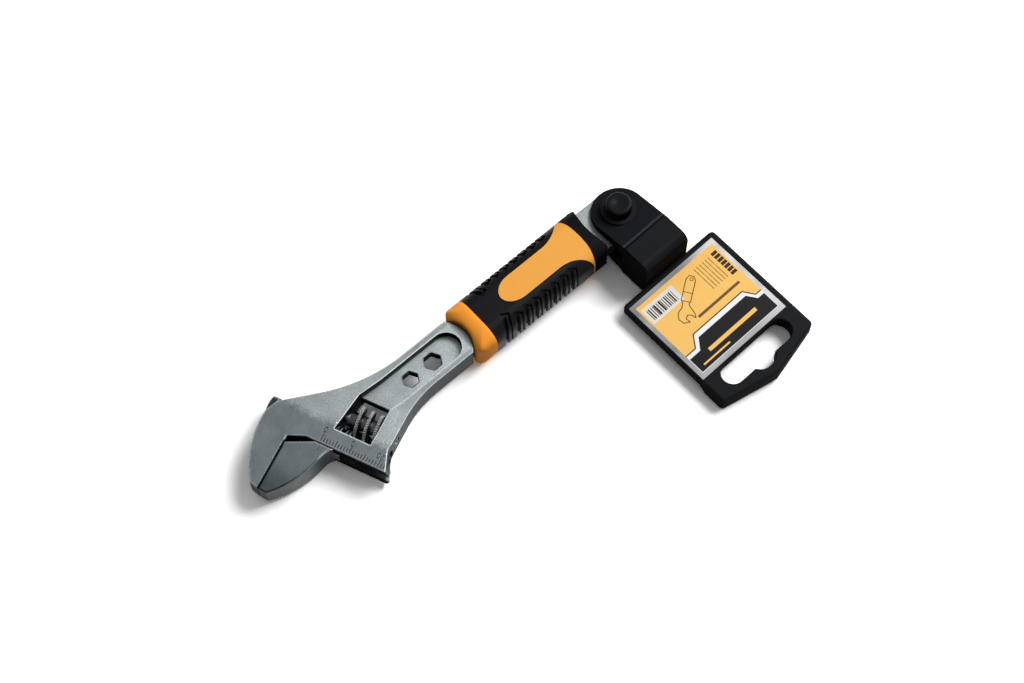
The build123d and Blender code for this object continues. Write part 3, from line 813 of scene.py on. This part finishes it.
@dataclass(frozen=True)
class Moulded:
    """Moulded plastic or rubber: fine grain, faint mottling, painted shade on upright faces, and
    edges painted lighter on black pieces for wear and highlight, darker on orange as shade.
    """

    name: str
    colour: Colour
    edge_highlight_and_shade: Colour
    roughness: float
    grain_depth: float
    grain: float = 4.0
    edge_radius: float = 0.3
    edge_share: float = 0.5
    mottle: float = 0.15
    shine: float = 0.1
    side_shade: float = 0.0
    side_roughness: float = 0.45
    front_colour: Colour | None = None
    front_end: float = 0.0
    front_round: float = 0.0
    outline: InlayOutline | EarStep | None = None

    def make(self) -> Material:
        """Build the material.

        Returns:
            The material.
        """
        recipe = Recipe(self.name)
        grain = recipe.noise(self.grain, roughness=0.6)
        cloud = recipe.noise(0.25, 3.0)
        rounded, edge = recipe.edges(self.edge_radius)
        side = recipe.upright() * self.side_shade
        colour: object = self.colour
        if self.front_colour is not None:
            front = recipe.axis(0).fall(self.front_end - 0.1, self.front_end + 0.1)
            colour = recipe.mix(front, colour, self.front_colour)
            edge = edge * front.rest()
            rounded = recipe.soften(rounded, front, self.front_round)
        shade = cloud.swing(self.mottle * 2) + grain.swing(self.mottle) + 1.0
        # Painted shade on upright faces, as strong as side_shade.
        colour = recipe.tint(colour, shade * side.rest())
        # Edges in a colour of their own: lighter on the black pieces for wear and painted
        # highlight, darker on the orange as painted shade.
        colour = recipe.mix(edge * self.edge_share, colour, self.edge_highlight_and_shade)
        if self.outline is not None:
            colour = self.outline.paint(recipe, colour)
        roughness = self.roughness + grain.swing(0.16) + cloud.swing(0.12)
        roughness = roughness + side * self.side_roughness
        relief = grain * self.grain_depth
        return recipe.finish(colour, roughness, relief, rounded, shine=self.shine)


@dataclass(frozen=True)
class LabelPrint:
    """Printed card without lettering: silver border, orange field with plain bars, dark band."""

    silver: Colour = linear(126, 126, 128)
    bright: Colour = linear(238, 238, 238)
    orange: Colour = linear(244, 192, 105)
    pale: Colour = linear(226, 222, 214)
    dark: Colour = linear(22, 22, 25)
    brown: Colour = linear(74, 44, 20)
    field: Box = ((-17.6, 27.0), (17.8, 58.3))
    inner: Box = ((-17.4, 27.0), (17.6, 58.1))
    long_stripe: Box = ((-10.2, 53.2), (11.6, 54.6))
    short_stripe: Box = ((-15.2, 56.2), (-3.2, 56.8))
    title: Box = ((-4.4, 42.7), (14.6, 43.7))
    panel: Box = ((-16.9, 28.6), (-3.0, 35.2))
    bar_area: Box = ((-15.9, 30.0), (-4.6, 34.2))
    rule_area: Box = ((5.6, 29.6), (13.6, 39.4))
    square_area: Box = ((14.7, 29.4), (17.1, 40.2))
    chevron_line: float = 0.42
    chevron: tuple[Plan, ...] = (
        (-17.4, 50.5), (-13.2, 50.5), (-10.2, 46.4), (12.6, 46.4), (15.2, 50.2), (17.9, 50.2),
    )
    band: tuple[Plan, ...] = (
        (-17.4, 52.1), (-12.6, 52.1), (-9.6, 48.3), (12.4, 48.3), (14.8, 51.7), (19.1, 51.7),
    )
    spanner: tuple[Plan, ...] = (
        (-7.7, 42.6), (-9.6, 41.5), (-9.9, 39.4), (-8.3, 37.6), (-6.0, 37.0), (-4.6, 35.9),
        (-4.3, 34.9), (2.3, 30.5), (4.0, 30.3), (4.9, 31.6), (4.2, 33.1), (-2.5, 37.5),
        (-3.4, 37.6), (-3.9, 38.6), (-4.3, 41.3), (-5.3, 42.8), (-5.6, 41.2), (-6.6, 40.2),
        (-7.9, 40.9), (-7.7, 42.6),
    )
    spanner_lines: tuple[Box, ...] = (((-4.4, 35.0), (-2.6, 37.5)), ((-1.5, 33.2), (0.0, 35.7)))
    spanner_hole: Box = ((3.6, 31.8), (0.55, 0.55))

    def make(self) -> Material:
        """Build the material.

        Returns:
            The material.
        """
        recipe = Recipe("label_print")
        across, down = hanger_axes().read(recipe)
        sheet, fine = Drawing(across, down), Drawing(across, down, 0.04)
        field, under = sheet.block(*self.field), sheet.below(self.chevron)
        colour = self.foil(sheet)
        for share, ink in (
            (field * under.rest(), self.orange),
            (field * under, self.bright),
            (field * sheet.stroke(self.chevron, self.chevron_line), self.dark),
            (sheet.block(*self.inner) * sheet.below(self.band), self.dark),
            (sheet.block(*self.long_stripe), self.orange),
            (sheet.block(*self.short_stripe), self.orange),
            (sheet.block(*self.panel), self.pale),
            (self.bars(fine), self.dark),
            (self.rows(fine), self.dark),
            (self.tool(sheet), self.brown),
            (sheet.block(*self.title) * 0.85, self.dark),
        ):
            colour = recipe.mix(share, colour, ink)
        cloud, fibre = recipe.noise(0.3), recipe.noise(6.0)
        colour = recipe.tint(colour, cloud.swing(0.08) + fibre.swing(0.06) + 1.0)
        roughness = 0.4 + cloud.swing(0.2)
        return recipe.finish(colour, roughness, fibre * 0.003, recipe.bevel(0.08), shine=0.1)

    def foil(self, sheet: Drawing) -> Link:
        """Silver with a painted sheen that brightens towards one side and the far end, and soft
        clouds on it.

        Args:
            sheet: Drawing that it lies under.

        Returns:
            The colour.
        """
        recipe, across, down = sheet.up.recipe, sheet.across, sheet.up
        # Painted sheen across the silver.
        sheen = across.rise(4.0, 17.0) * 0.5 + down.rise(45.0, 57.0) * across.fall(-17.0, 6.0) * 0.1
        clouds = recipe.noise(0.16, 1.0, place=recipe.bundle(across * 0.35, down)).rise(0.3, 0.7)
        return recipe.mix((sheen + clouds * 0.3).least(1.0), self.silver, self.bright)

    def bars(self, sheet: Drawing) -> Socket:
        """Plain upright bars on the pale panel, narrow ones and wide ones at two spacings."""
        bars = sheet.across.stripes(-16.0, 0.84, 0.16).least(sheet.across.stripes(-16.0, 2.3, 0.24))
        return sheet.ink(bars) * sheet.block(*self.bar_area)

    def rows(self, sheet: Drawing) -> Socket:
        """Plain broken rules where small print would stand, and a column of small blocks.

        Args:
            sheet: Drawing that they belong to.

        Returns:
            1 on a rule or block, else 0.
        """
        recipe = sheet.up.recipe
        broken = recipe.noise(3.0, 1.0, place=recipe.bundle(0.0, sheet.up)).rise(0.36, 0.4)
        rules = sheet.ink(sheet.across.stripes(6.0, 1.3, 0.17)) * broken
        rules = rules * sheet.block(*self.rule_area) * 0.7
        squares = sheet.ink(sheet.up.stripes(29.325, 1.55, 0.6)) * sheet.block(*self.square_area)
        return rules.most(squares * 0.97)

    def tool(self, sheet: Drawing) -> Socket:
        """A plain outline of a spanner with open jaws, a hole and two lines across.

        Args:
            sheet: Drawing that it belongs to.

        Returns:
            1 on a line, else 0.
        """
        drawn = sheet.stroke(self.spanner, 0.32)
        for line in self.spanner_lines:
            drawn = drawn.most(sheet.stroke(line, 0.28))
        return drawn.most(sheet.loop(*self.spanner_hole, 0.26)) * 0.95


# ---- fine pieces ----
def add_object(name: str, data: bpy.types.ID) -> Piece:
    """Make an object, and link it to the scene.

    Args:
        name: Name of the object.
        data: What it shows: a mesh, a lamp or a camera.

    Returns:
        The object.
    """
    made = bpy.data.objects.new(name, data)
    bpy.context.scene.collection.objects.link(made)
    return made


def surface(name: str, rows: np.ndarray, finish: Material, crease: float) -> Piece:
    """Make one closed piece of a grid of points, in which points that meet are joined.

    Args:
        name: Name of the piece.
        rows: Points in millimetres, as rows x columns x 3.
        finish: Its material.
        crease: Angle in degrees from which an edge stays sharp.

    Returns:
        The piece, at the origin, with its place in its mesh.
    """
    high, wide = rows.shape[:2]
    index = np.arange(high * wide).reshape(high, wide)
    corners = (index[:-1, :-1], index[:-1, 1:], index[1:, 1:], index[1:, :-1])
    faces = np.stack(corners, axis=-1).reshape(-1, 4)
    mesh = bpy.data.meshes.new(name)
    mesh.from_pydata((rows.reshape(-1, 3) * MM).tolist(), [], faces.tolist())
    work = bmesh.new()
    work.from_mesh(mesh)
    bmesh.ops.remove_doubles(work, verts=work.verts, dist=0.003 * MM)
    bmesh.ops.dissolve_degenerate(work, edges=work.edges, dist=0.0005 * MM)
    bmesh.ops.recalc_face_normals(work, faces=work.faces)
    work.to_mesh(mesh)
    work.free()
    mesh.shade_smooth()
    mesh.set_sharp_from_angle(angle=math.radians(crease))
    mesh.materials.append(finish)
    log.info("%s: %d faces", name, len(mesh.polygons))
    return add_object(name, mesh)


@dataclass(frozen=True)
class Worm:
    """The thumb worm: one thread round a hollow core, with staggered notches along its crest."""

    start: float = 14.7
    length: float = 10.5
    radius: float = 5.75
    root: float = 3.18
    pitch: float = 3.3
    half_crest: float = 0.5
    half_root: float = 0.85
    thread_start: float = 10.6
    first_turn: float = 1.42
    last_turn: float = 4.5
    run_out: float = 0.12
    bore: float = 1.48
    pocket: float = 2.4
    pocket_depth: float = 3.4
    notches: int = 60
    notch_depth: float = 0.34
    columns: int = 560
    crest_points: int = 7
    seam: float = 1e-4
    tolerance: float = 1e-6
    crease: float = 40.0

    def profile(self, turn: np.ndarray, way: np.ndarray) -> np.ndarray:
        """Radius of the thread.

        The distance from the nearest crest, along the axis, is the way past the thread's start less
        the pitch for each turn, wrapped to half a pitch either side. The radius falls straight from
        crest to root over the flank, and the crest dips with cos(notches) * cos(across the crest).
        The thread starts and ends by sinking into the root over a short run of its turns.

        Args:
            turn: Angles round the axis, in turns.
            way: Places along the axis.

        Returns:
            The radii.
        """
        turns = (way - self.thread_start) / self.pitch - turn
        nearest = np.floor(turns + 0.5)
        off = (turns - nearest) * self.pitch
        along = nearest + turn
        present = np.clip((along - self.first_turn) / self.run_out, 0, 1)
        present = present * np.clip((self.last_turn - along) / self.run_out, 0, 1)
        flank = (self.half_root - np.abs(off)) / (self.half_root - self.half_crest)
        climb = np.clip(flank, 0, 1) * present
        stagger = np.cos(2 * np.pi * self.notches * turn) * np.cos(np.pi * off / self.half_crest)
        on_crest = np.abs(off) <= self.half_crest + self.tolerance
        dip = self.notch_depth * (0.5 - 0.5 * stagger) * on_crest * present
        return self.root + (self.radius - self.root) * climb - dip

    def build(self, axis_reach: float, finish: Material) -> Piece:
        """Lay the rows along the thread, cut them off at both ends, and close them by the bore.

        Args:
            axis_reach: Place of the axis along the clamping faces.
            finish: The worm's material.

        Returns:
            The piece.
        """
        end, middle = self.start + self.length, self.pitch / 2
        turn = np.linspace(0, 1, self.columns + 1)[None, :]
        crest = np.linspace(-self.half_crest, self.half_crest, self.crest_points)
        last = [self.half_root, middle - self.seam]
        offsets = np.concatenate(([-middle, -self.half_root], crest, last))
        turns = math.ceil((end - self.thread_start) / self.pitch)
        starts = self.thread_start + self.pitch * np.arange(turns)
        way = (starts[:, None] + offsets[None, :]).reshape(-1, 1) + self.pitch * turn
        way = np.clip(way, self.start, end)
        radius = self.profile(turn, way)
        pocket_end = self.start + self.pocket_depth
        inner = np.array((
            (end, self.bore), (pocket_end, self.bore),
            (pocket_end, self.pocket), (self.start, self.pocket),
        ))
        way = np.vstack((way, inner[:, :1] + 0 * turn, way[:1]))
        radius = np.vstack((radius, inner[:, 1:] + 0 * turn, radius[:1]))
        angle = 2 * np.pi * turn
        across = axis_reach + radius * np.cos(angle)
        points = head_axes().points(across, way, radius * np.sin(angle))
        piece = surface("worm_thread", points, finish, self.crease)
        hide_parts("worm")
        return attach(piece, Body.WORM.value)


@dataclass(frozen=True)
class ButtonCap:
    """The stud's head: a dished top in a rounded rim, and a skirt that widens to the flange."""

    top: float = 11.32
    dish: float = 0.22
    dish_points: int = 28
    rim: float = 0.8
    rim_centre: float = 3.47
    rim_end: float = 0.13
    rim_points: int = 12
    foot: float = 4.55
    foot_height: float = 7.36
    skirt_power: float = 2.2
    skirt_bend: float = 0.55
    skirt_points: int = 8
    columns: int = 128
    crease: float = 50.0

    def build(self, finish: Material) -> Piece:
        """Turn the profile round the pin: a dish, then a quarter round, then the skirt.

        The dish lies at top - depth * cos^2. Along the skirt's height from 0 to 1, its radius grows
        with height^power * bend + height * (1 - bend).

        Args:
            finish: The stud's material.

        Returns:
            The piece.
        """
        dish = np.linspace(0, self.rim_centre, self.dish_points)
        dish_height = self.top - self.dish * np.cos(np.pi / 2 * dish / self.rim_centre) ** 2
        bend = np.linspace(np.pi / 2, self.rim_end, self.rim_points)[1:]
        round_off = self.rim_centre + self.rim * np.cos(bend)
        round_height = self.top - self.rim + self.rim * np.sin(bend)
        skirt = np.linspace(0, 1, self.skirt_points + 1)[1:]
        flare = skirt**self.skirt_power * self.skirt_bend + skirt * (1 - self.skirt_bend)
        skirt_off = round_off[-1] + (self.foot - round_off[-1]) * flare
        skirt_height = round_height[-1] + (self.foot_height - round_height[-1]) * skirt
        radius = np.concatenate((dish, round_off, skirt_off, [0.0]))[:, None]
        parts = (dish_height, round_height, skirt_height, [self.foot_height])
        height = np.concatenate(parts)[:, None]
        angle = np.linspace(0, 2 * np.pi, self.columns + 1)[None, :]
        points = hanger_axes().points(radius * np.cos(angle), radius * np.sin(angle), height)
        piece = surface("stud_head", points, finish, self.crease)
        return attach(piece, Body.HANGER.value)


# ---- sub-assemblies ----
Finish = HeadSteel | JawSteel | TurnedSteel | Moulded | LabelPrint


def dress(finishes: dict[str, Finish]) -> None:
    """Make the finishes of carried-over nodes, by the nodes' names.

    Args:
        finishes: What each node takes.
    """
    for node, finish in finishes.items():
        material = finish.make()
        for slot in frame["nodes"][node].material_slots:
            slot.material = material
        log.info("%s: %s", node, material.name)


@dataclass(frozen=True)
class Head:
    """Forged body, movable jaw, worm, pin and spring."""

    body: HeadSteel = HeadSteel()
    jaw: JawSteel = JawSteel()
    worm: Worm = Worm()
    pin: TurnedSteel = TurnedSteel("pin_steel", (0.42, 0.43, 0.44))
    spring: TurnedSteel = TurnedSteel("spring_steel", (0.5, 0.5, 0.5))

    def build(self) -> None:
        """Build the worm on its axis."""
        pivot = joint("worm_spin")["pos_m"]
        along = head_axes().first
        axis_reach = (pivot[0] * along[0] + pivot[1] * along[1]) / MM
        self.worm.build(axis_reach, WormSteel(axis_reach).make())

    def dress(self) -> None:
        """Give the steel pieces their finishes."""
        dress({"wrench_body": self.body, "movable_jaw": self.jaw})
        dress({"worm_pin": self.pin, "worm_spring": self.spring})


@dataclass(frozen=True)
class Grip:
    """Orange core with black cover and end cap."""

    core: Moulded = Moulded(
        "grip_orange", (0.86, 0.395, 0.068), (0.1, 0.03, 0.006), 0.5, 0.004, grain=3.0,
        edge_radius=0.45, edge_share=0.9, mottle=0.03, side_shade=0.45, outline=InlayOutline(),
        front_colour=(0.95, 0.34, 0.036), front_end=80.9, front_round=2.2,
    )
    cover: Moulded = Moulded(
        "grip_rubber", RUBBER, (0.02, 0.02, 0.022), 0.38, 0.01,
        edge_share=0.6, mottle=0.2, outline=InlayOutline(),
    )
    end: Moulded = Moulded(
        "cap_rubber", RUBBER, (0.008, 0.008, 0.009), 0.5, 0.012,
        edge_radius=0.4, mottle=0.2, shine=0.03, side_shade=0.95,
    )

    def dress(self) -> None:
        """Give the grip's pieces their finishes."""
        dress({"grip_core": self.core, "grip_cover": self.cover, "grip_end": self.end})


@dataclass(frozen=True)
class Hanger:
    """Ears, block and plate in one moulding, the stud, and the printed card."""

    button: ButtonCap = ButtonCap()
    gloss: Moulded = Moulded(
        "stud_gloss", PLASTIC, STUD_EDGE_HIGHLIGHT, 0.22, 0.003,
        edge_radius=0.25, edge_share=0.4, shine=0.06, side_shade=0.97,
    )
    body: Moulded = Moulded(
        "hanger_plastic", PLASTIC, (0.035, 0.037, 0.04), 0.44, 0.014,
        shine=0.04, side_shade=0.85, outline=EarStep(),
    )
    stud: Moulded = Moulded(
        "stud_plastic", PLASTIC, STUD_EDGE_HIGHLIGHT, 0.38, 0.006, edge_radius=0.2, shine=0.06
    )
    card: LabelPrint = LabelPrint()

    def build(self) -> None:
        """Build the stud's head."""
        self.button.build(self.gloss.make())

    def dress(self) -> None:
        """Give the hanger's pieces their finishes."""
        dress({"hanger": self.body, "hanger_pin": self.stud, "label_card": self.card})


# ---- studio ----
@dataclass(frozen=True)
class Lamp:
    """One soft rectangular lamp that points at the middle of the wrench."""

    name: str
    place: Place
    size: Plan
    power: float

    def build(self, target: Vector) -> None:
        """Hang the lamp and turn it to its target.

        Args:
            target: What it points at, and what its place is counted from.
        """
        data = bpy.data.lights.new(self.name, "AREA")
        data.shape = "RECTANGLE"
        data.size, data.size_y = self.size
        data.energy = self.power
        lamp = add_object(self.name, data)
        lamp.location = target + Vector(self.place)
        lamp.rotation_mode = "QUATERNION"
        lamp.rotation_quaternion = (-Vector(self.place)).to_track_quat("-Z", "Y")


@dataclass(frozen=True)
class Studio:
    """Camera, floor, sky and lamps."""

    eye: Place = (-108.3, -235.45, 655.05)
    right: Place = (0.7467, -0.6651, 0.0)
    upward: Place = (0.6076, 0.6822, 0.4067)
    lens: float = 77.34
    sensor: float = 36.0
    clip: Plan = (0.01, 20.0)
    floor_half: float = 3.0
    floor_colour: Colour = (0.9, 0.9, 0.9)
    backdrop_colour: Colour = (1.5, 1.5, 1.5)
    sky_low: float = 0.06
    sky_high: float = 0.42
    sky_full: float = 0.95
    sky_way: Place = (0.3, 0.35, 0.89)
    nose_rest: Plan = (-1.0, -5.27)
    grip_rest: Plan = (75.0, -8.07)
    lamps: tuple[Lamp, ...] = (
        Lamp("key", (0.72, -0.06, 0.82), (0.62, 0.62), 11.6),
        Lamp("front", (0.25, -0.95, 0.42), (0.7, 0.25), 0.8),
    )

    def build(self) -> None:
        """Set the camera, the floor, the sky and the lamps."""
        self.build_camera()
        self.build_floor()
        self.build_sky()
        low, high = cad_box
        for lamp in self.lamps:
            lamp.build((low + high) / 2)
        bpy.context.scene.view_settings.view_transform = "Standard"

    def build_camera(self) -> None:
        """Place the camera by its right, upward and backward axes."""
        data = bpy.data.cameras.new("camera")
        data.sensor_width = self.sensor
        data.lens = self.lens
        data.clip_start, data.clip_end = self.clip
        camera = add_object("camera", data)
        right, upward = Vector(self.right).normalized(), Vector(self.upward).normalized()
        turn = Matrix((right, upward, right.cross(upward))).transposed().to_4x4()
        camera.matrix_world = Matrix.Translation(Vector(self.eye) * MM) @ turn
        bpy.context.scene.camera = camera

    def build_floor(self) -> None:
        """Lay a plain floor that touches the nose and the grip's front, level across the handle."""
        (nose, nose_height), (grip, grip_height) = self.nose_rest, self.grip_rest
        slope = (grip_height - nose_height) / (grip - nose)
        side = np.array((-1, 1, 1, -1)) * self.floor_half
        other = np.array((-1, -1, 1, 1)) * self.floor_half
        height = nose_height * MM + slope * (side - nose * MM)
        mesh = bpy.data.meshes.new("floor")
        mesh.from_pydata(np.stack((side, other, height), axis=-1).tolist(), [], [(0, 1, 2, 3)])
        mesh.materials.append(self.paper())
        floor = add_object("floor", mesh)

    def paper(self) -> Material:
        """Matt paper that lights the wrench as a plain floor and shows as a bright backdrop.

        Returns:
            The material.
        """
        recipe = Recipe("floor_paper")
        shade = recipe.noise(0.02).swing(0.01) + 1.0
        rays = recipe.node("LightPath").outputs
        kinds = ("Is Camera Ray", "Is Glossy Ray", "Is Transmission Ray")
        camera, glossy, through = (Socket(recipe, rays[kind]) for kind in kinds)
        seen = camera.most(glossy).most(through)
        colour = recipe.tint(recipe.mix(seen, self.floor_colour, self.backdrop_colour), shade)
        return recipe.finish(colour, 0.9, None, recipe.straight(), shine=0.0)

    def build_sky(self) -> None:
        """Light from all round, stronger towards one place above the wrench than low down."""
        sky = Recipe("studio", sky=True)
        way = sky.node("TexCoord").outputs["Generated"]
        above = sky.dot(way, self.sky_way).rise(0.0, self.sky_full)
        strength = above * (self.sky_high - self.sky_low) + self.sky_low
        light = sky.node("Background", {"Color": (1.0, 1.0, 1.0), "Strength": strength})
        sky.node("OutputWorld", {"Surface": light.outputs[0]})
        bpy.context.scene.world = sky.block


def main() -> None:
    """Build and dress the wrench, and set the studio."""
    logging.basicConfig(level=logging.INFO, format="%(message)s")
    head, grip, hanger = Head(), Grip(), Hanger()
    head.build()
    head.dress()
    grip.dress()
    hanger.build()
    hanger.dress()
    Studio().build()


if __name__ == "__main__":
    main()
